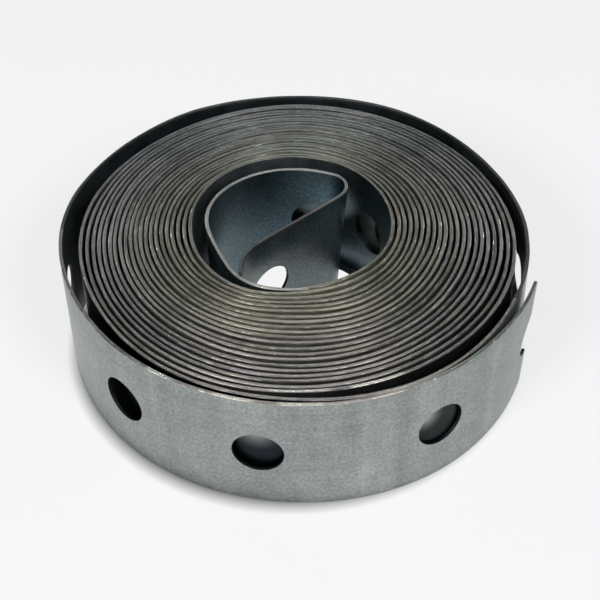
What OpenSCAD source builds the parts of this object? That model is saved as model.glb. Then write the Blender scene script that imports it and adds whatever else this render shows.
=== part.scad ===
// Coil of perforated band iron: one thin galvanised strip, punched with round
// holes along its middle and wound on edge into a loose roll. The roll lies
// flat, so the strip's width stands upright and both edges of every turn lie
// in two level planes. Millimetres, +Z up, origin under the middle of the roll.

/* [Strip] */
// width of the strip = height of the roll (3/4 in stock)
strip_width = 19.05; // [12:0.05:32]
// thickness of the strip (26 gauge)
strip_thickness = 0.45; // [0.3:0.01:0.46]

/* [Punched holes] */
// diameter of every punched hole
hole_diameter = 6.6; // [3:0.1:9]
// shorter of the two alternating hole spacings, centre to centre, under the outer turn
hole_step_short = 20.35; // [16:0.01:24]
// longer of the two alternating hole spacings, centre to centre, under the outer turn
hole_step_long = 24.28; // [20:0.01:30]

/* [Coil] */
// packed turns, counted to the start of the two loose outer turns
packed_turns = 20; // [8:1:20]
// radius of the first quarter turn at the bore, to the middle of the strip
bore_radius = 13.55; // [13.4:0.05:15]

/* [Hidden] */
$fn = 180;
half_t = strip_thickness / 2;

// The winding is a chain of arcs, each tangent to the next. A station is a
// direction seen from the roll's middle: 0 front, 1 right, 2 back, 3 left, 4
// front again; a half, such as 3.5, is the 3-4-5 direction between two of them.
axis = [[0, -1], [1, 0], [0, 1], [-1, 0]];
function whole(u) = u == floor(u);
function way(u) = whole(u) ? axis[u % 4]
    : 0.6 * axis[floor(u) % 4] + 0.8 * axis[(floor(u) + 1) % 4];
function bearing(u) = 270 + 90 * floor(u) + (whole(u) ? 0 : atan(4 / 3));

// In the pack the radius grows at every quarter: least at the front and back,
// most at the right and left, and this evens out over the turns, so the gaps
// close towards the back of the outer turns. A trace of ripple keeps the gaps
// uneven. Growths are in hundredths, so arcs meet exactly.
packed_quarters = 4 * packed_turns;
grow_middle = [-0.12, 0.40, 0.01, 0.47];
grow_trend = [-0.38, 0.35, -0.35, 0.38];
function packed_grow(i) = i == 0 ? 0 :
    round(100 * (grow_middle[i % 4] + grow_trend[i % 4] * (floor(i / 4) - 10) / 10)
        + sin(i * 4.4) * sin(i * 37)) / 100;
// the two outer turns: [station, growth]. The first still hugs the pack at the
// front right, the second stands off it at the left
loose = [[0, -0.45], [1, 0.8], [2, -0.04], [3, -0.16], [3.5, 3.6],
         [4, -3.28], [4.5, -0.05], [5, 2.37], [5.5, -0.15],
         [6, 1.66], [6.5, -6.45], [7, 5.2], [7.5, 2.3]];
// outer end: flares off the roll and is cut off through a hole
flare_grow = -2.12;
flare_angle = 68.3;

arc_count = packed_quarters + len(loose);
function station(i) = i < packed_quarters ? i
    : i < arc_count ? packed_quarters + loose[i - packed_quarters][0] : packed_quarters + 8;
function growth(i) = i < packed_quarters ? packed_grow(i) : loose[i - packed_quarters][1];
// [centre x, centre y, radius] of arc i; each starts where the last ended
function arcs(i, cx, cy, r) =
    i >= arc_count ? [] :
    let (g = growth(i), w = way(station(i)), nx = cx - g * w[0], ny = cy - g * w[1])
    concat([[nx, ny, r + g]], arcs(i + 1, nx, ny, r + g));
bore_centre = [-0.35, 2.8];
winding = arcs(0, bore_centre[0], bore_centre[1], bore_radius);
function arc_run(i) = winding[i][2] * (bearing(station(i + 1)) - bearing(station(i))) * PI / 180;
function runs(i, s) = i > arc_count ? [] :
    concat([s], runs(i + 1, s + (i < arc_count ? arc_run(i) : 0)));
run_to = runs(0, 0);
run = run_to[arc_count];
last = winding[arc_count - 1];
flare = [last[0], last[1] + flare_grow, last[2] + flare_grow];
flare_run = flare[2] * flare_angle * PI / 180;

// inner end, from the front of the bore backwards: lead-in, straight chord,
// wrap round the mandrel, tight bend, strand across the bore, curled tip;
// each entry is [length, turn in degrees]
tail = [[3.5, -14], [6.5, -49], [7.5, -10], [9, -56], [10, -48], [7, -26],
        [5.5, -116], [9, -2], [6, 3], [3, 26], [3, 32]];
tail_step = 0.5;
tail_start = [bore_centre[0], bore_centre[1] - bore_radius];
// points [[x, y], heading] of one stretch
function walk(p, h, turn, n) = n == 0 ? [] :
    let (q = p + tail_step * [cos(h + turn / 2), sin(h + turn / 2)])
    concat([[q, h + turn]], walk(q, h + turn, turn, n - 1));
function tail_path(p, h, k) = k >= len(tail) ? [] :
    let (n = tail[k][0] / tail_step, v = walk(p, h, tail[k][1] / n, n), e = v[len(v) - 1])
    concat(v, tail_path(e[0], e[1], k + 1));
tail_points = concat([[tail_start, 180]], tail_path(tail_start, 180, 0));
tail_run = tail_step * (len(tail_points) - 1);
function beside(v, d) = [for (q = v) q[0] + d * [-sin(q[1]), cos(q[1])]];
function reversed(v) = [for (i = [len(v) - 1 : -1 : 0]) v[i]];
module tail_shape() {
    polygon(concat(beside(tail_points, -half_t), reversed(beside(tail_points, half_t))));
}

// holes: counted back from the cut end. On the free outer turn the punching is
// uneven and its spacings are stated; under it the two spacings take turns
outer_steps = [20.25, 24, 19.8, 23.2, 24, 24, 24, 24];
outer_holes = len(outer_steps);
function sum_to(k) = k == 0 ? 0 : outer_steps[k - 1] + sum_to(k - 1);
hole_pair = hole_step_short + hole_step_long;
hole_count = 1 + outer_holes + floor(
    (run + flare_run + tail_run - sum_to(outer_holes) - hole_diameter) / hole_pair * 2);
function hole_run(k) = run + flare_run - (k <= outer_holes ? sum_to(k)
    : sum_to(outer_holes) + floor((k - outer_holes) / 2) * hole_pair
        + ((k - outer_holes) % 2) * hole_step_long);
function arc_of(s, i) = run_to[i] <= s ? i : arc_of(s, i - 1);
cut_margin = 0.04;

module drill(p, a, reach) {
    translate([p[0], p[1], strip_width / 2]) rotate([0, 90, a])
        cylinder(d = hole_diameter, h = reach, center = true);
}
// a hole through one turn only: a round cutter kept inside that turn's own ring
module ring_hole(c, a) {
    intersection() {
        drill([c[0] + c[2] * cos(a), c[1] + c[2] * sin(a)], a, 3);
        translate([c[0], c[1], 0])
            difference() {
                cylinder(r = c[2] + half_t + cut_margin, h = strip_width);
                cylinder(r = c[2] - half_t - cut_margin, h = strip_width);
            }
    }
}
// on the tail a hole is square to the flat between points k and k + 1
module tail_hole(k) {
    u = tail_points[k];
    v = tail_points[k + 1];
    drill((u[0] + v[0]) / 2, (u[1] + v[1]) / 2 + 90, 2.6);
}
module hole(k) {
    s = hole_run(k);
    if (s >= run)
        ring_hole(flare, 270 + (s - run) / flare[2] * 180 / PI);
    else if (s >= 0) {
        i = arc_of(s, arc_count - 1);
        ring_hole(winding[i], bearing(station(i)) + (s - run_to[i]) / winding[i][2] * 180 / PI);
    } else
        tail_hole(floor(-s / tail_step));
}

// the part of a ring between two directions less than a right angle apart
module ring_part(c, from, to) {
    translate([c[0], c[1]])
        intersection() {
            difference() {
                circle(r = c[2] + half_t);
                circle(r = c[2] - half_t);
            }
            polygon([[0, 0], 80 * from, 80 * to]);
        }
}

// the roll's reach each way, for standing it over the origin
function reach_at(u) = [for (i = [0 : arc_count - 1]) if (station(i + 1) == packed_quarters + u)
    [winding[i][0], winding[i][1]] + (winding[i][2] + half_t) * way(u)][0];
x_left = reach_at(7)[0];
x_right = max(reach_at(5)[0], flare[0] + (flare[2] + half_t) * sin(flare_angle));
y_back = reach_at(6)[1];
y_front = flare[1] - flare[2] - half_t;

module strip() {
    color([0.62, 0.64, 0.63])
    translate([-(x_left + x_right) / 2, -(y_back + y_front) / 2, 0])
    difference() {
        linear_extrude(height = strip_width) {
            for (i = [0 : arc_count - 1])
                ring_part(winding[i], way(station(i)), way(station(i + 1)));
            ring_part(flare, axis[0], [sin(flare_angle), -cos(flare_angle)]);
            tail_shape();
        }
        for (k = [0 : hole_count - 1]) hole(k);
    }
}

strip();
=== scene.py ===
import bpy, math
import numpy as np
from math import sin, cos, pi, radians, degrees, floor, atan2
from mathutils import Vector, Matrix


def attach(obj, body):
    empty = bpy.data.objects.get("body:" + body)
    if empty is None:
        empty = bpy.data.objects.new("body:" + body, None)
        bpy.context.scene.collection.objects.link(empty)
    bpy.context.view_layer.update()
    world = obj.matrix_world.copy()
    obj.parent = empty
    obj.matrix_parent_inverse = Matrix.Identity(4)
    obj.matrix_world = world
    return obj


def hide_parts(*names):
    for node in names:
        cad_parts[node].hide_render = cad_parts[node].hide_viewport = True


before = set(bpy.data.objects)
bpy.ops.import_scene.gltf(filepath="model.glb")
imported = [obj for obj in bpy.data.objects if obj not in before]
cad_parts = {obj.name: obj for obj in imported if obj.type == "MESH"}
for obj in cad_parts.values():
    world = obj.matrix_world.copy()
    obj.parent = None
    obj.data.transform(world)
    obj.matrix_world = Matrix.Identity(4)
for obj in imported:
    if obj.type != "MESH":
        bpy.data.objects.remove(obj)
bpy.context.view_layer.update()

# ---------------------------------------------------------------- geometry of the strip, in mm
WIDTH = 19.05
THICK = 0.45
HOLE_D = 6.6
STEP_SHORT, STEP_LONG = 20.35, 24.28
OUTER_STEPS = [20.80, 24, 19.8, 23.2, 24, 24, 24, 24]      # from the cut end inward

# the winding: tangent arcs between stations (0 front, 1 right, 2 back, 3 left, halves are 3-4-5 directions)
PACKED = 80
GROW_MID = [-0.12, 0.40, 0.01, 0.47]
GROW_TREND = [-0.38, 0.35, -0.35, 0.38]
LOOSE = [[0, -0.45], [1, 0.8], [2, -0.04], [3, -0.16], [3.5, 3.6], [4, -3.28], [4.5, -0.05], [5, 2.37],
         [5.5, -0.15], [6, 1.66], [6.5, -6.45], [7, 5.2], [7.5, 2.3]]
FLARE_GROW, FLARE_ANGLE = -2.12, 68.3
FLARE_MORE = 1.1                 # degrees that the sheared tip reaches past the CAD's nominal cut
BORE_C, BORE_R = (-0.35, 2.8), 13.55
TAIL = [[3.5, -14], [6.5, -49], [7.5, -10], [9, -56], [10, -48], [7, -26],
        [5.5, -116], [9, -2], [6, 3], [3, 26], [3, 32]]
AXIS = [(0, -1), (1, 0), (0, 1), (-1, 0)]
half_t = THICK / 2

def rnd(x):
    return floor(x + 0.5) if x >= 0 else -floor(-x + 0.5)

def packed_grow(i):
    return 0 if i == 0 else rnd(100 * (GROW_MID[i % 4] + GROW_TREND[i % 4] * (i // 4 - 10) / 10)
                                + sin(radians(i * 4.4)) * sin(radians(i * 37))) / 100

N_ARC = PACKED + len(LOOSE)

def station(i):
    return i if i < PACKED else PACKED + LOOSE[i - PACKED][0] if i < N_ARC else PACKED + 8

def way(u):
    f = int(floor(u))
    a = AXIS[f % 4]
    if u == f:
        return a
    b = AXIS[(f + 1) % 4]
    return (0.6 * a[0] + 0.8 * b[0], 0.6 * a[1] + 0.8 * b[1])

def bearing(u):
    f = int(floor(u))
    return 270 + 90 * f + (0 if u == f else degrees(atan2(4, 3)))

arcs = []
_cx, _cy, _r = BORE_C[0], BORE_C[1], BORE_R
for _i in range(N_ARC):
    _g = packed_grow(_i) if _i < PACKED else LOOSE[_i - PACKED][1]
    _w = way(station(_i))
    _cx -= _g * _w[0]; _cy -= _g * _w[1]; _r += _g
    arcs.append((_cx, _cy, _r, bearing(station(_i)), bearing(station(_i + 1))))
_f = (arcs[-1][0], arcs[-1][1] + FLARE_GROW, arcs[-1][2] + FLARE_GROW)
arcs.append((_f[0], _f[1], _f[2], arcs[-1][4], arcs[-1][4] + FLARE_ANGLE + FLARE_MORE))
runs = [0.0]
for _a in arcs:
    runs.append(runs[-1] + _a[2] * radians(_a[4] - _a[3]))
S_END = runs[-1]
S_TAIL = -float(sum(t[0] for t in TAIL))

# where the roll stands: the middle of its box over the origin, as the CAD has it
def reach(u):
    j = [i for i in range(N_ARC) if station(i + 1) == PACKED + u][0]
    w = way(u)
    return (arcs[j][0] + (arcs[j][2] + half_t) * w[0], arcs[j][1] + (arcs[j][2] + half_t) * w[1])
_xl, _xr = reach(7)[0], max(reach(5)[0], _f[0] + (_f[2] + half_t) * sin(radians(FLARE_ANGLE)))
_yb, _yf = reach(6)[1], _f[1] - _f[2] - half_t
SHIFT = np.array([-(_xl + _xr) / 2, -(_yb + _yf) / 2])

# small departures of each pass from the arcs, in hundredths of a mm, every 30 degrees from the front
MID = np.array([0.0, 1.872])
LEAN = [
    [0, -12, 20, 12, -13, -1, -10, 3, 0, -18, 10, 30],
    [-25, -16, 24, 18, -1, -4, 0, -4, 3, -5, 13, 20],
    [-33, -4, 20, 20, 4, -10, 3, -14, 0, 3, 13, 10],
    [-38, 5, 18, 24, 12, -10, 10, -15, 3, 12, 15, 4],
    [-40, 13, 15, 25, 14, -14, 9, -22, 0, 13, 12, -5],
    [-42, 16, 10, 25, 16, -14, 11, -21, 4, 20, 15, -4],
    [-36, 23, 10, 29, 19, -13, 11, -23, 3, 19, 12, -10],
    [-36, 20, 4, 26, 15, -15, 8, -23, 3, 19, 11, -9],
    [-30, 21, 4, 27, 16, -12, 9, -20, 6, 17, 12, -9],
    [-24, 19, 1, 25, 14, -10, 6, -18, 6, 15, 12, -9],
    [-18, 17, 1, 24, 12, -9, 5, -16, 7, 12, 10, -8],
    [-12, 12, -1, 23, 10, -7, 3, -13, 9, 11, 10, -6],
    [-5, 9, 1, 24, 9, -5, 2, -10, 9, 8, 6, -7],
    [-3, 0, -3, 19, 4, -7, -2, -9, 10, 8, 6, -4],
    [1, -4, -1, 21, 5, -2, 0, -2, 15, 11, 9, 1],
    [4, -9, -1, 18, 0, -4, -3, -2, 14, 8, 6, 1],
    [1, -17, -1, 16, -4, -3, -1, 2, 18, 13, 10, 8],
    [3, -18, 6, 21, -3, -1, 3, 5, 20, 19, 9, 8],
    [-6, -23, 6, 21, -5, -3, 6, 5, 24, 29, 13, 11],
    [-12, -22, 13, 27, -1, -2, 15, 8, 31, 43, 19, 14],
    [-21, -23, 15, 24, -8, -18, 7, -12, 3, 25, -25, 9],
    [-5, 13, -27, -6, -23, 14, -7, 25, -30, -3, -18, -3],
    [-2, -1, 0, 24]]
KNOT = np.array([v / 100.0 for row in LEAN for v in row])

def natural_spline(y, h):
    """Second derivatives of the natural cubic spline through equally spaced values."""
    n = len(y)
    a = np.zeros((n, n)); b = np.zeros(n)
    a[0, 0] = a[-1, -1] = 1
    for i in range(1, n - 1):
        a[i, i - 1], a[i, i], a[i, i + 1] = 1, 4, 1
        b[i] = 6 * (y[i + 1] - 2 * y[i] + y[i - 1]) / h ** 2
    return np.linalg.solve(a, b)
KNOT2 = natural_spline(KNOT, 30.0)

def lean_at(phi):
    phi = np.clip(phi, 0, 30.0 * (len(KNOT) - 1) - 1e-6)
    i = np.floor(phi / 30).astype(int)
    t = phi - 30.0 * i
    u = 30.0 - t
    return (KNOT2[i] * u ** 3 + KNOT2[i + 1] * t ** 3) / 180 \
        + (KNOT[i] / 30 - KNOT2[i] * 5) * u + (KNOT[i + 1] / 30 - KNOT2[i + 1] * 5) * t

# dense centre line: S (run along the strip), P (points)
ds = 0.25
tail_pts, tail_s = [], []
h = 180.0
p = np.array([BORE_C[0], BORE_C[1] - BORE_R])
heads = [180.0]
for L, turn in TAIL:
    n = int(round(L / ds))
    for _ in range(n):
        h += turn / n
        heads.append(h)
heads = np.array(heads)
# the turning is eased so that no corner shows
k = np.array([1, 3, 5, 6, 5, 3, 1], float); k /= k.sum()
padded = np.concatenate([np.full(3, heads[0]), heads, heads[-1] + (heads[-1] - heads[-2]) * np.arange(1, 4)])
heads = np.convolve(padded, k, "valid")
pts = [p]
for i in range(len(heads) - 1):
    m = radians((heads[i] + heads[i + 1]) / 2)
    pts.append(pts[-1] + ds * np.array([cos(m), sin(m)]))
tail_xy = np.array(pts)[::-1]
tail_s = -ds * np.arange(len(pts))[::-1]
wind_s, wind_xy = [], []
for j, (cx, cy, r, a0, a1) in enumerate(arcs):
    n = max(2, int(round((runs[j + 1] - runs[j]) / 0.5)))
    for q in range(n + (1 if j == len(arcs) - 1 else 0)):
        a = radians(a0 + (a1 - a0) * q / n)
        wind_s.append(runs[j] + (runs[j + 1] - runs[j]) * q / n)
        wind_xy.append((cx + r * cos(a), cy + r * sin(a)))
wind_s, wind_xy = np.array(wind_s), np.array(wind_xy)
d = wind_xy - MID
rad = np.hypot(d[:, 0], d[:, 1])
th = np.unwrap(np.arctan2(d[:, 1], d[:, 0]))
phi = np.degrees(th - th[0]) + degrees(atan2(d[0, 1], d[0, 0])) + 90
rad = rad + lean_at(phi) * np.clip(wind_s / 8.0, 0, 1)
wind_xy = MID + np.stack([rad * np.cos(th), rad * np.sin(th)], 1)
S = np.concatenate([tail_s[:-1], wind_s])
XY = np.concatenate([tail_xy[:-1], wind_xy]) + SHIFT
T = np.gradient(XY, S, axis=0)
T /= np.hypot(T[:, 0], T[:, 1])[:, None]
NRM = np.stack([T[:, 1], -T[:, 0]], 1)      # outward, the strip runs anticlockwise

def smooth_noise(s, step, seed):
    """Seeded smooth noise in -1..1 along the strip."""
    g = np.random.RandomState(seed).uniform(-1, 1, int((S_END - S_TAIL) / step) + 8)
    t = (np.asarray(s) - S_TAIL) / step + 1
    i = np.floor(t).astype(int); f = t - i
    f = f * f * (3 - 2 * f)
    return g[i] * (1 - f) + g[i + 1] * f

# how far the foot of the strip stands off the line under its top edge, at points along it
FOOT_S = [-70, -64, -58, -52, -47, -42, -34, -26, -18, -8, 2985, 3005, S_END]
FOOT_X = [-0.7, -0.9, -1.0, -1.2, -1.4, -0.8, -0.2, 0.2, 0.3, 0, 0, -0.15, -0.65]
FOOT_Y = [0.1, 0.2, 0.2, 0.1, 0.0, 0.5, 0.5, 0.2, 0.0, 0, 0, 0.0, 0.15]

def place(s, dd, z):
    """Point of the strip: s along it, dd outward from its middle plane, z up."""
    s = np.asarray(s, float)
    x = np.interp(s, S, XY[:, 0]); y = np.interp(s, S, XY[:, 1])
    nx = np.interp(s, S, NRM[:, 0]); ny = np.interp(s, S, NRM[:, 1])
    # the foot of the inner loop stands in from its top edge, the flared end leans out at the top
    low = 1 - np.clip(z / WIDTH, 0, 1)
    fx = np.interp(s, FOOT_S, FOOT_X); fy = np.interp(s, FOOT_S, FOOT_Y)
    x = x + low * fx; y = y + low * fy
    # sheared edges wander a little: some packed turns stand lower, and burrs make the edge broader or narrower
    pack = np.clip((2790 - s) / 30, 0, 1) * np.clip((s - 20) / 60, 0, 1)
    drop = pack * (0.16 + 0.10 * smooth_noise(s, 31.0, 11) + 0.06 * smooth_noise(s, 9.0, 12))
    lift = 0.05 + 0.035 * smooth_noise(s, 23.0, 5) + 0.015 * smooth_noise(s, 7.0, 6)
    zz = z * (WIDTH - 0.1 - drop) / WIDTH + lift
    near_top = np.clip((z - WIDTH + 0.2) / 0.15, 0, 1)
    dd = dd + near_top * np.where(dd > 0, 0.035, -0.035) * (0.35 + smooth_noise(s, 3.1, 21 ) * np.where(dd > 0, 1, 0)
                                                            + smooth_noise(s, 2.7, 22) * np.where(dd > 0, 0, 1))
    wob = pack * 0.025 * smooth_noise(s, 8.0, 31)
    dd = dd + wob
    return np.stack([x + nx * dd, y + ny * dd, zz], -1) / 1000.0

# ---------------------------------------------------------------- the strip's mesh
CELL = 1.1                      # grid step round a hole
SQ = 4.4                        # half side of the square that holds a hole
MIDZ = WIDTH / 2
rows = [0.14] + [MIDZ - SQ + CELL * i for i in range(9)] + [WIDTH - 0.12]
NR = len(rows)
t2 = 0.22                       # half thickness of the modelled strip
# ring of one section, outer face upward, top edge, inner face downward, bottom edge
ring = [(t2, z) for z in rows]
ring += [(t2 - 0.035, WIDTH - 0.035), (t2 - 0.11, WIDTH), (-t2 + 0.06, WIDTH), (-t2 + 0.015, WIDTH - 0.02)]
ring += [(-t2, z) for z in reversed(rows)]
ring += [(-t2 + 0.05, 0.0), (t2 - 0.09, 0.0)]
NRING = len(ring)
OUT0, IN_TOP = 0, NR + 4        # first outer row; the inner face's top row
def outer_i(rw):
    return rw
def inner_i(rw):
    return IN_TOP + (NR - 1 - rw)
ring = np.array(ring)

def hole_run(k):
    n = len(OUTER_STEPS)
    if k <= n:
        return S_END - sum(OUTER_STEPS[:k])
    return S_END - sum(OUTER_STEPS) - ((k - n) // 2) * (STEP_SHORT + STEP_LONG) - ((k - n) % 2) * STEP_LONG
holes = []
kk = 1
while hole_run(kk) > S_TAIL + HOLE_D / 2:
    hr_ = hole_run(kk)
    # on the inner tail the mid line is a little shorter than the top edge, since the loop narrows downward
    holes.append(hr_ - 1.2 * min(1.0, max(0.0, -hr_ - 20) / 15) - 0.3 * min(1.0, max(0.0, -hr_ - 45) / 10)); kk += 1
holes = sorted(holes)

# columns along the strip
cols, patch = [], []            # column runs; (first column, centre, half?) of each hole
def fill(a, b, step):
    n = max(1, int(round((b - a) / step)))
    return [a + (b - a) * i / n for i in range(n)]
cur = S_TAIL
for hc in holes:
    stp = 0.5 if cur < 0 else 1.28
    cols += fill(cur, hc - SQ, stp)
    patch.append((len(cols), hc, False))
    cols += [hc - SQ + CELL * i for i in range(8)]
    cur = hc + SQ
cols += fill(cur, S_END - SQ, 1.28)
patch.append((len(cols), S_END, True))
cols += [S_END - SQ + CELL * i for i in range(5)]
cols = np.array(cols)
NC = len(cols)

sv = np.repeat(cols, NRING); dv = np.tile(ring[:, 0], NC); zv = np.tile(ring[:, 1], NC)
src = [np.stack([sv, dv, zv], 1)]
base = NC * NRING
faces, mats = [], []
skip = set()
FACE, EDGE, WALL = 0, 1, 2
for c0, hc, half in patch:
    for c in range(c0, c0 + (4 if half else 8)):
        for rw in range(1, 9):
            skip.add((c, outer_i(rw)))
            skip.add((c, inner_i(rw + 1)))
for c in range(NC - 1):
    for q in range(NRING):
        if (c, q) in skip:
            continue
        q2 = (q + 1) % NRING
        faces.append((c * NRING + q, (c + 1) * NRING + q, (c + 1) * NRING + q2, c * NRING + q2))
        on_face = (q < NR - 1) or (IN_TOP <= q < IN_TOP + NR - 1)
        mats.append(FACE if on_face else EDGE)

extra = []
def add(s, dd, z):
    extra.append((s, dd, z))
    return base + len(extra) - 1

R = HOLE_D / 2
for c0, hc, half in patch:
    if not half:
        # boundary of the square, anticlockwise seen from outside (s to the right, z up), from the lower right corner
        bd = [(c0 + 8, 1 + i) for i in range(8)] + [(c0 + 8 - i, 9) for i in range(8)] \
            + [(c0, 9 - i) for i in range(8)] + [(c0 + i, 1) for i in range(8)]
        ang = [radians(-45 + 11.25 * i) for i in range(32)]
        closed = True
    else:
        bd = [(c0 + 4 - i, 9) for i in range(4)] + [(c0, 9 - i) for i in range(8)] + [(c0 + i, 1) for i in range(5)]
        ang = [radians(90 + 11.25 * i) for i in range(17)]
        closed = False
    n = len(bd)
    loops = {}
    for side, sgn in (("o", 1), ("i", -1)):
        outer = [c * NRING + (outer_i(rw) if sgn > 0 else inner_i(rw)) for c, rw in bd]
        bs = [(cols[c], rows[rw]) for c, rw in bd]
        r0 = R + (0.06 if sgn > 0 else 0.04)
        face_ring = [add(hc + r0 * cos(a), sgn * t2, MIDZ + r0 * sin(a)) for a in ang]
        mid = [add((hc + r0 * cos(a)) * 0.6 + b[0] * 0.4, sgn * t2, (MIDZ + r0 * sin(a)) * 0.6 + b[1] * 0.4)
               for a, b in zip(ang, bs)]
        depth = 0.05 if sgn > 0 else 0.03
        wall = [add(hc + R * cos(a), sgn * (t2 - depth), MIDZ + R * sin(a)) for a in ang]
        loops[side] = (outer, mid, face_ring, wall)
        for la, lb, mt in ((outer, mid, FACE), (mid, face_ring, FACE), (face_ring, wall, WALL)):
            for i in range(n if closed else n - 1):
                j = (i + 1) % n
                f = (la[i], la[j], lb[j], lb[i])
                faces.append(f if sgn > 0 else f[::-1]); mats.append(mt)
    wo, wi = loops["o"][3], loops["i"][3]
    for i in range(n if closed else n - 1):
        j = (i + 1) % n
        faces.append((wo[i], wo[j], wi[j], wi[i])); mats.append(WALL)
    if half:
        c = NC - 1
        for a, b, up in (("o", "i", True),):
            # upper and lower lands of the cut end
            top_o = [loops["o"][q][0] for q in (3, 2, 1, 0)]
            top_i = [loops["i"][q][0] for q in (3, 2, 1, 0)]
            for q in range(3):
                faces.append((top_o[q], top_o[q + 1], top_i[q + 1], top_i[q])); mats.append(EDGE)
            cap = [c * NRING + q for q in range(outer_i(9), inner_i(9) + 1)]
            faces.append(tuple(cap)); mats.append(EDGE)
            bot_o = [loops["o"][q][-1] for q in (3, 2, 1, 0)]
            bot_i = [loops["i"][q][-1] for q in (3, 2, 1, 0)]
            for q in range(3):
                faces.append((bot_i[q], bot_i[q + 1], bot_o[q + 1], bot_o[q])); mats.append(EDGE)
            cap = [c * NRING + q % NRING for q in range(inner_i(1), NRING + outer_i(1) + 1)]
            faces.append(tuple(cap)); mats.append(EDGE)
faces.append(tuple(range(NRING - 1, -1, -1))); mats.append(EDGE)     # inner end

src.append(np.array(extra))
src = np.concatenate(src)
# vertices that no face uses (inside the hole squares) are dropped
used = np.zeros(len(src), bool)
for f in faces:
    for v in f:
        used[v] = True
newi = np.cumsum(used) - 1
src_used = src[used]
faces = [tuple(int(newi[v]) for v in f) for f in faces]
co = place(src_used[:, 0], src_used[:, 1], src_used[:, 2])

me = bpy.data.meshes.new("band_iron_strip")
me.from_pydata(co.tolist(), [], faces)
me.update()
strip = bpy.data.objects.new("band_iron_strip", me)
bpy.context.scene.collection.objects.link(strip)
# run along the strip and height across it, in metres, for the materials
uv = me.uv_layers.new(name="strip_uv")
li = np.zeros(len(me.loops), dtype=np.int32)
me.loops.foreach_get("vertex_index", li)
uvs = np.stack([src_used[li, 0] / 1000.0, src_used[li, 2] / 1000.0 + np.where(src_used[li, 1] > 0, 0.0, 0.05)], 1)
uv.data.foreach_set("uv", uvs.ravel())
me.polygons.foreach_set("material_index", np.array(mats, dtype=np.int32))
me.polygons.foreach_set("use_smooth", np.ones(len(faces), dtype=bool))
me.set_sharp_from_angle(angle=radians(32))
me.update()

# ---------------------------------------------------------------- materials
class Nodes:
    def __init__(self, name):
        self.mat = bpy.data.materials.new(name)
        self.mat.use_nodes = True
        self.t = self.mat.node_tree
        self.t.nodes.clear()
        self.out = self.t.nodes.new("ShaderNodeOutputMaterial")
    def new(self, kind, **kw):
        n = self.t.nodes.new(kind)
        for k_, v_ in kw.items():
            setattr(n, k_, v_)
        return n
    def put(self, sock, val):
        if hasattr(val, "is_output") or isinstance(val, bpy.types.NodeSocket):
            self.t.links.new(val, sock)
        else:
            sock.default_value = val
    def math(self, op, a, b=None, c=None, clamp=False):
        n = self.new("ShaderNodeMath", operation=op, use_clamp=clamp)
        for i, v in enumerate((a, b, c)):
            if v is not None:
                self.put(n.inputs[i], v)
        return n.outputs[0]
    def stretch(self, uvec, su, sv, ou=0.0):
        n = self.new("ShaderNodeMapping")
        self.put(n.inputs["Vector"], uvec)
        n.inputs["Location"].default_value = (ou, 0, 0)
        n.inputs["Scale"].default_value = (su, sv, 1)
        return n.outputs[0]
    def noise(self, vec, scale, detail=3.0, rough=0.55, dist=0.0):
        n = self.new("ShaderNodeTexNoise")
        self.put(n.inputs["Vector"], vec)
        n.inputs["Scale"].default_value = scale
        n.inputs["Detail"].default_value = detail
        n.inputs["Roughness"].default_value = rough
        n.inputs["Distortion"].default_value = dist
        return n.outputs[0]
    def ramp(self, fac, stops, interp="LINEAR"):
        n = self.new("ShaderNodeValToRGB")
        n.color_ramp.interpolation = interp
        el = n.color_ramp.elements
        while len(el) < len(stops):
            el.new(0.5)
        for e, (pos, col) in zip(el, stops):
            e.position = pos
            e.color = col if len(col) == 4 else (*col, 1)
        self.put(n.inputs[0], fac)
        return n.outputs[0]
    def mix(self, fac, a, b, mode="MIX"):
        n = self.new("ShaderNodeMix", data_type="RGBA", blend_type=mode)
        self.put(n.inputs[0], fac)
        self.put(n.inputs[6], a if isinstance(a, bpy.types.NodeSocket) or len(a) == 4 else (*a, 1))
        self.put(n.inputs[7], b if isinstance(b, bpy.types.NodeSocket) or len(b) == 4 else (*b, 1))
        return n.outputs[2]
    def bump(self, height, strength, dist, normal=None):
        n = self.new("ShaderNodeBump")
        n.inputs["Strength"].default_value = strength
        n.inputs["Distance"].default_value = dist
        self.put(n.inputs["Height"], height)
        if normal is not None:
            self.put(n.inputs["Normal"], normal)
        return n.outputs[0]

# where the outer turn's outward face, which keeps the plain zinc colour, begins, and the painted glow spots on the turn
# behind the three front holes: painted reflections of light seen through the holes
_wt = np.unwrap(np.arctan2(wind_xy[:, 1] - MID[1], wind_xy[:, 0] - MID[0]))
def turn_behind(s):
    """Run of the point one turn further in than s, in the same direction from the middle."""
    return float(np.interp(np.interp(s, wind_s, _wt) - 2 * pi, _wt, wind_s))
SKIN_FROM = float(np.interp(_wt[-1] - 2 * pi, _wt, wind_s))
front = [h_ for h_ in holes if h_ > S_END - 70][::-1]           # from the cut end: C, B, A
hole_painted_glows = [(turn_behind(front[0]) - 2.0, 11.6, 3.0, 0.85), (turn_behind(front[1]) - 0.3, 12.8, 4.0, 1.0)]

def side_masks(m, uvn):
    """(run u, height v with the side taken off, 1 on the outward side, 1 on the outer turn's outward face, which keeps
    the plain zinc colour)
    """
    sep = m.new("ShaderNodeSeparateXYZ")
    m.put(sep.inputs[0], uvn)
    u, v = sep.outputs[0], sep.outputs[1]
    outw = m.math("LESS_THAN", v, 0.03)
    v0 = m.math("SUBTRACT", v, m.math("MULTIPLY", m.math("SUBTRACT", 1.0, outw), 0.05))
    run_ = m.math("DIVIDE", m.math("SUBTRACT", u, (SKIN_FROM - 13.0) / 1000), 0.008, clamp=True)
    return u, v0, outw, m.math("MULTIPLY", outw, run_)

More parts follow.
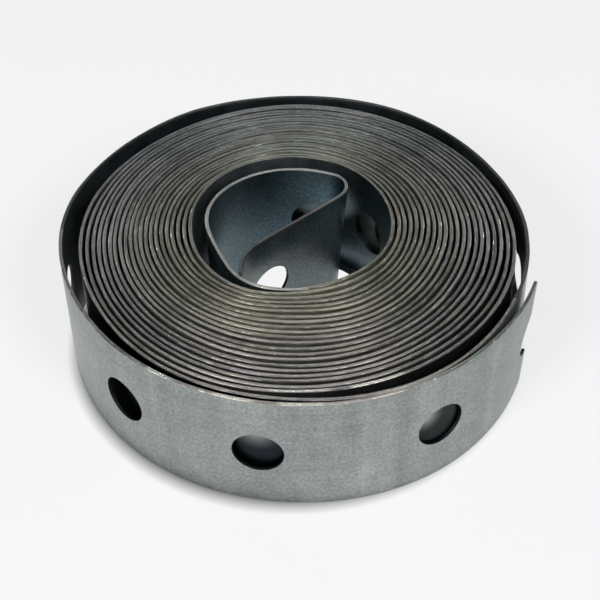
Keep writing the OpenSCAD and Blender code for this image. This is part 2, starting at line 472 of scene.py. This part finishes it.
def zinc():
    m = Nodes("galvanised_face")
    b = m.new("ShaderNodeBsdfPrincipled")
    m.t.links.new(b.outputs[0], m.out.inputs[0])
    uvn = m.new("ShaderNodeUVMap", uv_map="strip_uv").outputs[0]
    u, v0, outw, skin = side_masks(m, uvn)
    fine = m.noise(m.stretch(uvn, 1, 1), 2300.0, 1.5, 0.6)          # 0.4 mm grain
    mott = m.noise(m.stretch(uvn, 1, 0.8), 420.0, 4.0, 0.6, 0.3)    # 2 mm mottling
    cloud = m.noise(m.stretch(uvn, 1, 0.7), 70.0, 3.0, 0.5)         # 15 mm clouds
    draw = m.noise(m.stretch(uvn, 0.03, 1), 900.0, 3.0, 0.6)        # rolling lines along the strip
    cross = m.noise(m.stretch(uvn, 1, 0.05), 240.0, 3.0, 0.65)      # faint marks across the strip
    tint = m.noise(m.stretch(uvn, 1, 1, 3.1), 1900.0, 1.0, 0.5)     # grain of a slightly other hue
    v = m.math("MULTIPLY_ADD", fine, 0.34, m.math("MULTIPLY_ADD", mott, 0.18, m.math("MULTIPLY_ADD", cloud, 0.20,
            m.math("MULTIPLY_ADD", draw, 0.10, m.math("MULTIPLY", cross, 0.18)))))
    # v is about 0.50 in the mean
    col = m.ramp(v, [(0.39, (0.215, 0.230, 0.230)), (0.50, (0.305, 0.321, 0.315)), (0.625, (0.43, 0.445, 0.43))])
    col = m.mix(m.ramp(tint, [(0.35, (0, 0, 0)), (0.65, (1, 1, 1))]), col, m.mix(1.0, col, (0.93, 0.985, 1.0), "MULTIPLY"))
    # a few pale streaks across the outer face
    st = m.ramp(cross, [(0.60, (0, 0, 0)), (0.72, (1, 1, 1))])
    col = m.mix(m.math("MULTIPLY", st, 0.35), col, (0.42, 0.44, 0.42))
    # the other sides of the strip are painted a dark blue green, a painted shade standing in for the shade inside the
    # roll
    shade = m.math("MULTIPLY_ADD", fine, 0.45, m.math("MULTIPLY_ADD", mott, 0.13, m.math("MULTIPLY_ADD", cloud, 0.16, 0.13)))
    inner = m.ramp(shade, [(0.36, (0.052, 0.086, 0.100)), (0.50, (0.099, 0.139, 0.153)), (0.64, (0.165, 0.216, 0.236))])
    # inside the loop the strip is painted darker near its bend, a painted shade; past the bend it is greyer
    bend_painted_shade = m.math("MULTIPLY", m.math("DIVIDE", m.math("SUBTRACT", -0.024, u), 0.014, clamp=True),
                  m.math("DIVIDE", m.math("ADD", u, 0.050), 0.003, clamp=True))
    inner = m.mix(bend_painted_shade, inner, m.mix(1.0, inner, (0.56, 0.64, 0.70), "MULTIPLY"))
    grey_ = m.math("DIVIDE", m.math("SUBTRACT", -0.047, u), 0.003, clamp=True)
    inner = m.mix(grey_, inner, m.mix(1.0, inner, (1.16, 0.97, 0.92), "MULTIPLY"))
    # the far wall of the bore is painted paler on its upper part, a painted pool of light
    far_wall_painted_light = m.math("MULTIPLY", m.math("DIVIDE", m.math("SUBTRACT", u, 0.031), 0.014, clamp=True),
                      m.math("DIVIDE", m.math("SUBTRACT", 0.074, u), 0.012, clamp=True))
    far_wall_painted_light = m.math("MULTIPLY", far_wall_painted_light, m.math("SUBTRACT", 1.0, outw))
    far_wall_painted_light = m.math("MULTIPLY", far_wall_painted_light, m.math("DIVIDE", m.math("SUBTRACT", v0, 0.0105), 0.005, clamp=True))
    inner = m.mix(far_wall_painted_light, inner, m.mix(mott, (0.26, 0.30, 0.33), (0.52, 0.56, 0.58)))
    # the outward sides of the wound turns, seen only down the gaps, are a pale tan near the bore, partly their tone and
    # partly painted light that hides the narrow gaps, and dark towards the outside of the roll, a painted shade in the
    # wider gaps
    gap_light_to_shade = m.math("DIVIDE", m.math("SUBTRACT", u, 0.55), 1.5, clamp=True)
    packed = m.mix(mott, m.mix(gap_light_to_shade, (0.50, 0.48, 0.41), (0.110, 0.106, 0.118)), m.mix(gap_light_to_shade, (0.82, 0.79, 0.69), (0.36, 0.35, 0.36)))
    inner = m.mix(m.math("MULTIPLY", outw, m.math("GREATER_THAN", u, 0.004)), inner, packed)
    # the inner sides of the turns past the first few are painted paler, more so towards the back of the roll: painted
    # light where the gaps at the back show them
    back_gap_painted_light = m.math("MULTIPLY", m.math("SUBTRACT", 1.0, outw), m.math("DIVIDE", m.math("SUBTRACT", u, 0.118), 0.02, clamp=True))
    ps = m.new("ShaderNodeSeparateXYZ")
    m.put(ps.inputs[0], m.new("ShaderNodeTexCoord").outputs["Object"])
    rear = m.math("DIVIDE", m.math("SUBTRACT", ps.outputs[1], 0.004), 0.012, clamp=True)
    back_gap_painted_light = m.math("MULTIPLY", back_gap_painted_light, m.math("MULTIPLY_ADD", rear, 0.8, 0.2))
    inner = m.mix(back_gap_painted_light, inner, m.mix(mott, (0.36, 0.38, 0.37), (0.62, 0.64, 0.62)))
    # behind the free outer turn the strip is painted darkest, a painted shade, but for painted glow spots behind the
    # front holes
    behind_outer_painted_shade = m.math("DIVIDE", m.math("SUBTRACT", u, (SKIN_FROM - 225.0) / 1000), 0.020, clamp=True)
    # the inner side of the outer turn is painted a dark blue green, a painted shade, with a paler band along its top, a
    # painted highlight
    far_out = m.math("MULTIPLY", m.math("SUBTRACT", 1.0, outw), m.math("GREATER_THAN", u, (SKIN_FROM - 4.0) / 1000))
    top_band_painted_highlight = m.math("DIVIDE", m.math("SUBTRACT", v0, 0.01845), 0.0003, clamp=True)
    outer_in = m.mix(mott, (0.085, 0.115, 0.128), (0.20, 0.25, 0.27))
    outer_in = m.mix(m.math("MULTIPLY", top_band_painted_highlight, m.math("MULTIPLY_ADD", cross, 0.8, 0.1)), outer_in, (0.34, 0.36, 0.38))
    inner = m.mix(m.math("MULTIPLY", behind_outer_painted_shade, outw), inner, (0.080, 0.092, 0.100))
    inner = m.mix(far_out, inner, outer_in)
    # the outward side just behind the front holes is painted nearly black, and darker still behind the last one:
    # painted shade seen through the holes
    holes_painted_shade = m.math("DIVIDE", m.math("SUBTRACT", u, (turn_behind(front[2]) - 9.0) / 1000), 0.004, clamp=True)
    inner = m.mix(m.math("MULTIPLY", holes_painted_shade, outw), inner, (0.013, 0.017, 0.023))
    last_hole_painted_shade = m.math("DIVIDE", m.math("SUBTRACT", u, (turn_behind(front[0]) - 8.0) / 1000), 0.004, clamp=True)
    inner = m.mix(m.math("MULTIPLY", last_hole_painted_shade, outw), inner, (0.004, 0.006, 0.008))
    # past the last hole, the outward side seen in the open wedge under the outer turn is painted pale, a painted light
    past_painted_light = m.math("DIVIDE", m.math("SUBTRACT", u, (turn_behind(front[0]) + 4.0) / 1000), 0.004, clamp=True)
    inner = m.mix(m.math("MULTIPLY", past_painted_light, outw), inner, m.mix(mott, (0.42, 0.44, 0.42), (0.80, 0.82, 0.78)))
    # pale spots painted on the turn behind the front holes: painted reflections seen through the holes
    for us, zs, rs, amt in hole_painted_glows:
        du = m.math("SUBTRACT", u, us / 1000); dv = m.math("SUBTRACT", v0, zs / 1000)
        dd_ = m.math("SQRT", m.math("ADD", m.math("MULTIPLY", du, du), m.math("MULTIPLY", dv, dv)))
        k_ = m.math("SUBTRACT", 1.0, m.math("DIVIDE", dd_, rs / 1000), clamp=True)
        k_ = m.math("MULTIPLY", m.math("POWER", k_, 1.9), amt)
        inner = m.mix(m.math("MULTIPLY", k_, outw), inner, (0.40, 0.44, 0.44))
    # the outer turn's outward face takes the plain zinc colour; every other side takes the painted-shade colours above
    col = m.mix(skin, inner, col)
    m.put(b.inputs["Base Color"], col)
    b.inputs["Metallic"].default_value = 1.0
    rg = m.math("MULTIPLY_ADD", mott, 0.16, m.math("MULTIPLY_ADD", cloud, 0.10, m.math("MULTIPLY_ADD", skin, 0.10, 0.23)))
    m.put(b.inputs["Roughness"], rg)
    wav = m.noise(m.stretch(uvn, 1, 0.6), 45.0, 2.0, 0.5)
    nb = m.bump(wav, 0.25, 0.0012)
    nb = m.bump(mott, 0.12, 0.00025, nb)
    nb = m.bump(fine, 0.10, 0.00006, nb)
    m.put(b.inputs["Normal"], nb)
    return m.mat

def sheared():
    m = Nodes("galvanised_edge")
    b = m.new("ShaderNodeBsdfPrincipled")
    m.t.links.new(b.outputs[0], m.out.inputs[0])
    uvn = m.new("ShaderNodeUVMap", uv_map="strip_uv").outputs[0]
    sep = m.new("ShaderNodeSeparateXYZ")
    m.put(sep.inputs[0], uvn)
    u = sep.outputs[0]
    longn = m.noise(m.stretch(uvn, 1, 0.3), 38.0, 3.0, 0.6)         # 25 mm patches along the edge
    hue = m.noise(m.stretch(uvn, 1, 0.3, 7.3), 26.0, 2.0, 0.5)
    scratch_and_sheen = m.noise(m.stretch(uvn, 1, 6), 330.0, 4.0, 0.7)            # 3 mm scratches
    nick_and_glint = m.noise(m.stretch(uvn, 1, 0.5, 1.7), 620.0, 2.0, 0.5)    # short bright nicks
    fin = m.noise(m.stretch(uvn, 1, 3), 1500.0, 2.0, 0.6)
    # olive and tan near the bore, purplish grey towards the outside
    out_ = m.math("DIVIDE", m.math("SUBTRACT", u, 0.45), 1.3, clamp=True)
    huef = m.math("ADD", m.math("MULTIPLY", out_, 0.75), m.math("MULTIPLY", m.math("SUBTRACT", hue, 0.5), 2.4), clamp=True)
    dark = m.mix(huef, (0.115, 0.104, 0.082), (0.084, 0.072, 0.082))
    lite = m.mix(huef, (0.48, 0.450, 0.355), (0.50, 0.460, 0.480))
    short = m.noise(m.stretch(uvn, 1, 0.6, 4.1), 150.0, 3.0, 0.6)    # 7 mm patches
    c1 = m.mix(m.ramp(m.math("MULTIPLY_ADD", longn, 0.6, m.math("MULTIPLY", short, 0.4)), [(0.38, (0, 0, 0)), (0.61, (1, 1, 1))]), dark, lite)
    # the scratches are painted pale, partly their own bare metal and partly a painted highlight
    c1 = m.mix(m.math("MULTIPLY", m.ramp(scratch_and_sheen, [(0.50, (0, 0, 0)), (0.66, (1, 1, 1))]), 0.75), c1, (0.84, 0.81, 0.71))
    c1 = m.mix(m.math("MULTIPLY", fin, 0.50), c1, (0.07, 0.062, 0.06))
    # painted glints: short pale streaks along the edge, painted highlights
    glint = m.ramp(nick_and_glint, [(0.585, (0, 0, 0)), (0.650, (1, 1, 1))])
    glint = m.math("MULTIPLY", glint, m.ramp(short, [(0.44, (0.12, 0.12, 0.12)), (0.60, (1, 1, 1))]))
    # painted highlights at given places on the outermost edge and on an inner turn at the front
    for ua, ub in ((2965.5, 2968.5), (2975, 2979.5), (2983, 2988), (2608, 2615), (2618, 2624.5)):
        mid_, hf = (ua + ub) / 2000, (ub - ua) / 2000
        k_ = m.math("DIVIDE", m.math("SUBTRACT", hf + 0.0006, m.math("ABSOLUTE", m.math("SUBTRACT", u, mid_))), 0.0012, clamp=True)
        glint = m.math("MAXIMUM", glint, m.math("MULTIPLY", k_, m.ramp(scratch_and_sheen, [(0.40, (0.25, 0.25, 0.25)), (0.55, (1, 1, 1))])))
    c3 = m.mix(glint, c1, (0.99, 0.97, 0.86))
    # the edge of the inner end is darker, and the outermost edge at the back is painted nearly black, a painted shade
    far_in = m.math("DIVIDE", m.math("SUBTRACT", -0.040, u), 0.016, clamp=True)
    back = m.math("MULTIPLY", m.math("GREATER_THAN", u, (SKIN_FROM - 4) / 1000), m.math("LESS_THAN", u, (SKIN_FROM + 105) / 1000))
    # the edge of the inner loop is painted paler and greyer, a painted highlight
    loop_painted_highlight = m.math("MULTIPLY", m.math("LESS_THAN", u, 0.002), 0.40)
    c3 = m.mix(loop_painted_highlight, c3, (0.74, 0.75, 0.74))
    darkened_edges = m.math("ADD", m.math("MULTIPLY", far_in, 0.72), m.math("MULTIPLY", back, 0.62))
    c3 = m.mix(darkened_edges, c3, (0.035, 0.032, 0.032))
    # the edges in the back half of the roll are painted darker and cooler, a painted shade
    ps = m.new("ShaderNodeSeparateXYZ")
    m.put(ps.inputs[0], m.new("ShaderNodeTexCoord").outputs["Object"])
    rear = m.math("DIVIDE", m.math("SUBTRACT", ps.outputs[1], 0.004), 0.015, clamp=True)
    c3 = m.mix(rear, c3, m.mix(1.0, c3, (0.71, 0.78, 0.83), "MULTIPLY"))
    cut_end = m.math("DIVIDE", m.math("SUBTRACT", u, (S_END - 26.0) / 1000), 0.010, clamp=True)
    c3 = m.mix(cut_end, c3, m.mix(1.0, c3, (0.84, 0.96, 0.86), "MULTIPLY"))
    m.put(b.inputs["Base Color"], c3)
    b.inputs["Metallic"].default_value = 1.0
    rg = m.math("MULTIPLY_ADD", scratch_and_sheen, -0.14, 0.50)
    rg = m.math("MULTIPLY_ADD", glint, -0.18, rg)
    m.put(b.inputs["Roughness"], rg)
    # the shears and the rolls score the edge along the strip
    b.inputs["Anisotropic"].default_value = 0.8
    b.inputs["Anisotropic Rotation"].default_value = 0.25
    tg = m.new("ShaderNodeTangent", direction_type="UV_MAP", uv_map="strip_uv")
    m.put(b.inputs["Tangent"], tg.outputs[0])
    nb = m.bump(scratch_and_sheen, 0.45, 0.00014)
    nb = m.bump(nick_and_glint, 0.5, 0.00010, nb)
    nb = m.bump(fin, 0.25, 0.00005, nb)
    m.put(b.inputs["Normal"], nb)
    return m.mat

def punched():
    m = Nodes("galvanised_hole_wall")
    b = m.new("ShaderNodeBsdfPrincipled")
    m.t.links.new(b.outputs[0], m.out.inputs[0])
    uvn = m.new("ShaderNodeUVMap", uv_map="strip_uv").outputs[0]
    g_ = m.noise(m.stretch(uvn, 1, 1), 1800.0, 2.0, 0.6)
    # the walls of the holes are painted nearly black, a painted shade that keeps the holes dark
    m.put(b.inputs["Base Color"], m.ramp(g_, [(0.35, (0.012, 0.014, 0.017)), (0.65, (0.034, 0.038, 0.042))]))
    b.inputs["Metallic"].default_value = 1.0
    b.inputs["Roughness"].default_value = 0.5
    m.put(b.inputs["Normal"], m.bump(g_, 0.3, 0.00005))
    return m.mat

me.materials.append(zinc())
me.materials.append(sheared())
me.materials.append(punched())
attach(strip, "root")
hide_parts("strip")

# ---------------------------------------------------------------- floor and light
FLOOR_GLOW = 0.70
def floor_material():
    m = Nodes("pale_floor")
    uvn = m.new("ShaderNodeTexCoord").outputs["Object"]
    ln = m.new("ShaderNodeVectorMath", operation="LENGTH")
    m.put(ln.inputs[0], uvn)
    r = ln.outputs["Value"]
    # under the roll the floor is a dark disc that does not glow, a painted shade that keeps the gaps between the turns
    # dark; outside it the floor glows evenly
    outside = m.ramp(m.math("DIVIDE", r, 0.1), [(0.300, (0, 0, 0)), (0.325, (1, 1, 1))])
    d_ = m.new("ShaderNodeBsdfDiffuse")
    m.put(d_.inputs[0], m.mix(outside, (0.10, 0.10, 0.11), (0.16, 0.16, 0.16)))
    e_ = m.new("ShaderNodeEmission")
    e_.inputs[0].default_value = (1, 1, 1, 1)
    m.put(e_.inputs[1], m.math("MULTIPLY", outside, FLOOR_GLOW))
    a_ = m.new("ShaderNodeAddShader")
    m.t.links.new(d_.outputs[0], a_.inputs[0]); m.t.links.new(e_.outputs[0], a_.inputs[1])
    m.t.links.new(a_.outputs[0], m.out.inputs[0])
    return m.mat

fl_me = bpy.data.meshes.new("floor")
fl_me.from_pydata([(-1.5, -1.5, 0), (1.5, -1.5, 0), (1.5, 1.5, 0), (-1.5, 1.5, 0)], [], [(0, 1, 2, 3)])
fl = bpy.data.objects.new("floor", fl_me)
bpy.context.scene.collection.objects.link(fl)
fl_me.materials.append(floor_material())

# the pale ground that shows through the bore, without throwing light back up into it
dm = bpy.data.meshes.new("bore_ground")
dm.from_pydata([(0.0122 * cos(2 * pi * i / 48) - 0.0002, 0.0122 * sin(2 * pi * i / 48) + 0.0028, 0.00004) for i in range(48)],
               [], [tuple(range(48))])
dobj = bpy.data.objects.new("bore_ground", dm)
bpy.context.scene.collection.objects.link(dobj)
mg = Nodes("pale_ground")
eg = mg.new("ShaderNodeEmission"); eg.inputs[0].default_value = (1, 1, 1, 1); eg.inputs[1].default_value = 0.9
mg.t.links.new(eg.outputs[0], mg.out.inputs[0])
dm.materials.append(mg.mat)
for flag in ("visible_diffuse", "visible_transmission", "visible_shadow"):
    setattr(dobj, flag, False)

def area(name, loc, target, size, power, color=(1, 1, 1), size_y=None):
    la = bpy.data.lights.new(name, "AREA")
    la.energy = power
    la.color = color
    la.size = size
    if size_y:
        la.shape = "RECTANGLE"; la.size_y = size_y
    o = bpy.data.objects.new(name, la)
    bpy.context.scene.collection.objects.link(o)
    o.location = loc
    o.rotation_euler = (Vector(target) - Vector(loc)).to_track_quat("-Z", "Y").to_euler()
    return o

area("key", (-0.30, -0.38, 0.42), (0, 0, 0.01), 0.16, 3.2, (1.0, 0.985, 0.95))
area("fill", (0.26, -0.36, 0.46), (0, 0, 0.01), 0.16, 2.8, (1.0, 0.99, 0.97))
area("side_left", (-0.42, 0.44, 0.34), (0, 0, 0.01), 0.16, 0.30, (0.97, 0.99, 1.0))
area("side_right", (0.42, 0.50, 0.30), (0, 0, 0.01), 0.16, 0.4, (0.97, 0.99, 1.0))
area("rim_left", (-0.20, 0.55, 0.38), (0, 0, 0.01), 0.06, 0.10, (1.0, 0.99, 0.94))
# light thrown up from the pale ground inside the inner loop and in front of it
def bounce(name, x, y, size, power, color):
    la = bpy.data.lights.new(name, "AREA")
    la.shape = "DISK"; la.size = size; la.energy = power; la.color = color
    o = bpy.data.objects.new(name, la)
    bpy.context.scene.collection.objects.link(o)
    o.location = (x, y, 0.0004)
    o.rotation_euler = (pi, 0, 0)
    o.visible_camera = False
bounce("bounce_loop", -0.0066, 0.0010, 0.005, 0.00017, (1.0, 1.0, 0.92))
bounce("bounce_bore", 0.0034, -0.0046, 0.007, 0.00030, (1.0, 0.98, 0.96))
world = bpy.data.worlds.new("studio")
bpy.context.scene.world = world
world.use_nodes = True
wn = world.node_tree
wn.nodes.clear()
wo_ = wn.nodes.new("ShaderNodeOutputWorld"); wb = wn.nodes.new("ShaderNodeBackground")
wb.inputs[0].default_value = (0.90, 0.97, 1.0, 1); wb.inputs[1].default_value = 0.34
wn.links.new(wb.outputs[0], wo_.inputs[0])

# ---------------------------------------------------------------- camera, at the photograph's viewing angle
cam_d = bpy.data.cameras.new("camera")
cam_d.sensor_width = 36.0
cam_d.lens = 89.6
cam_d.clip_start = 0.01
cam = bpy.data.objects.new("camera", cam_d)
bpy.context.scene.collection.objects.link(cam)
K = 0.0312
sh3 = Vector((SHIFT[0] / 1000, SHIFT[1] / 1000, 0))
pos = Vector((0.01715, -4.76765, 4.91531)) * K + sh3
tgt = Vector((0.01715, 0.20645, 0.0)) * K + sh3
fwd = (tgt - pos).normalized()
right = fwd.cross(Vector((0, 0, 1))).normalized()
up = right.cross(fwd).normalized()
rl = radians(-0.897)
right2 = right * cos(rl) + up * sin(rl)
up2 = up * cos(rl) - right * sin(rl)
rot = Matrix((right2, up2, -fwd)).transposed()
cam.matrix_world = Matrix.Translation(pos) @ rot.to_4x4()
bpy.context.scene.camera = cam
bpy.context.scene.view_settings.view_transform = "Standard"
